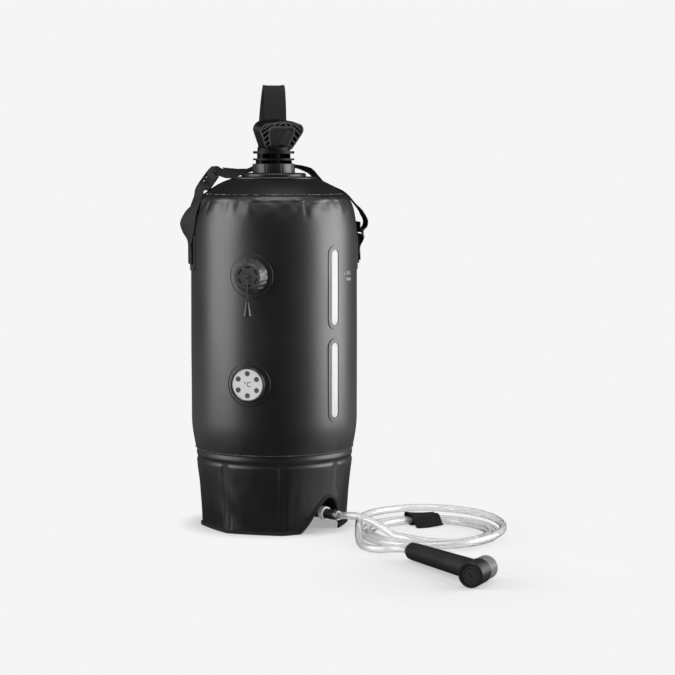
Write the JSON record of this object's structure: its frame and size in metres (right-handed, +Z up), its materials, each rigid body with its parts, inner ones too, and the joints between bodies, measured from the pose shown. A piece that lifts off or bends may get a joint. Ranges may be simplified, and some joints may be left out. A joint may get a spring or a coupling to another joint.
{
  "type": "camp shower pump",
  "caption": "Standing pressurised camp shower: film bag on a stiffened skirt, hand pump with stirrup handle, relief valve, thermometer, strap, clear hose and handset.",
  "frame": {"origin": "on the ground under the bag's axis, in the plane of the skirt's hem", "axes": "+Z up along the bag and pump axis, -Y towards the valve and thermometer side, +X towards the hose"},
  "size_m": [0.4419, 0.566, 0.6107],
  "materials": {
    "bag_film": "satin PVC film",
    "skirt_cloth": "coated cloth",
    "binding": "woven tape",
    "stiffener": "sheet plastic",
    "clear_film": "clear film",
    "welded_pvc": "welded satin PVC",
    "black_plastic": "moulded satin",
    "pump_plastic": "moulded satin",
    "white_plastic": "moulded",
    "rubber": "soft black",
    "steel": "stainless",
    "cord_black": "braided",
    "indicator": "smooth",
    "clear_pvc": "clear flexible tube",
    "handset_black": "moulded satin",
    "handset_grey": "moulded satin",
    "webbing": "ribbed webbing"
  },
  "bodies": {
    "bag": {"bag_tube": "bag_film", "bag_top": "bag_film", "bag_bottom": "bag_film", "base_skirt": "skirt_cloth", "base_hem": "binding", "arch_binding": "binding", "skirt_stiffeners": "stiffener", "level_windows": "clear_film", "window_frames": "welded_pvc", "weld_flange": "welded_pvc", "valve_base": "welded_pvc", "thermo_base": "welded_pvc", "anchor_patches": "welded_pvc", "neck_ring": "black_plastic", "thermo_bezel": "black_plastic", "outlet_flange": "black_plastic", "outlet_elbow": "black_plastic", "hose_connector": "black_plastic", "strap_adjuster": "black_plastic", "strap_ring": "black_plastic", "outlet_nut": "white_plastic", "thermo_dial": "white_plastic", "neck_gasket": "rubber", "outlet_gasket": "rubber", "hose_clamps": "steel", "hose_tie": "cord_black", "thermo_spots": "indicator", "hose_lead": "clear_pvc", "hose_coil": "clear_pvc", "hose_tail": "clear_pvc", "handset_grip": "handset_black", "handset_nut": "handset_black", "head_front": "handset_black", "spray_face": "handset_black", "face_ring": "handset_black", "head_back": "handset_grey", "carry_strap": "webbing", "ring_tab": "webbing"},
    "pump": {"pump_barrel": "pump_plastic", "rod_guide": "white_plastic", "barrel_foot": "pump_plastic", "foot_valve": "rubber"},
    "collar": {"collar_nut": "black_plastic"},
    "piston": {"piston_head": "pump_plastic", "piston_seal": "rubber"},
    "handle": {"pump_handle": "black_plastic", "piston_rod": "pump_plastic", "handle_pin": "steel"},
    "valve_cap": {"valve_cap": "black_plastic"},
    "valve_stem": {"valve_stem": "black_plastic", "valve_seal": "rubber", "valve_spring": "steel"},
    "pull_cord": {"valve_cord": "cord_black", "valve_toggle": "black_plastic"},
    "button": {"handset_button": "rubber", "button_seal": "rubber", "button_spring": "steel"}
  },
  "joints": [
    {"name": "pump_lift", "type": "slide", "parent": "bag", "child": "pump", "axis": [0, 0, 1], "range_m": [0, 0.17]},
    {"name": "collar_turn", "type": "hinge", "parent": "pump", "child": "collar", "pos_m": [0, 0, 0.495], "axis": [0, 0, 1], "range_deg": [0, 360]},
    {"name": "pump_stroke", "type": "slide", "parent": "pump", "child": "piston", "axis": [0, 0, 1], "range_m": [0, 0.125]},
    {"name": "handle_turn", "type": "hinge", "parent": "piston", "child": "handle", "pos_m": [0, 0, 0.51], "axis": [0, 0, 1], "continuous": true},
    {"name": "valve_cap_turn", "type": "hinge", "parent": "bag", "child": "valve_cap", "pos_m": [-0.03073, -0.11082, 0.353], "axis": [-0.2672, -0.9636, 0], "range_deg": [0, 330]},
    {"name": "valve_pull", "type": "slide", "parent": "bag", "child": "valve_stem", "axis": [-0.2672, -0.9636, 0], "range_m": [0, 0.004], "stiffness_N_per_m": 300, "deforming": ["valve_spring"]},
    {"name": "cord_swing", "type": "hinge", "parent": "valve_stem", "child": "pull_cord", "pos_m": [-0.03578, -0.12903, 0.353], "axis": [-0.9636, 0.2672, 0], "range_deg": [0, 85]},
    {"name": "handset_button", "type": "slide", "parent": "bag", "child": "button", "axis": [-0.4227, -0.9061, 0.0155], "range_m": [0, 0.003], "stiffness_N_per_m": 400, "deforming": ["button_spring"]}
  ]
}
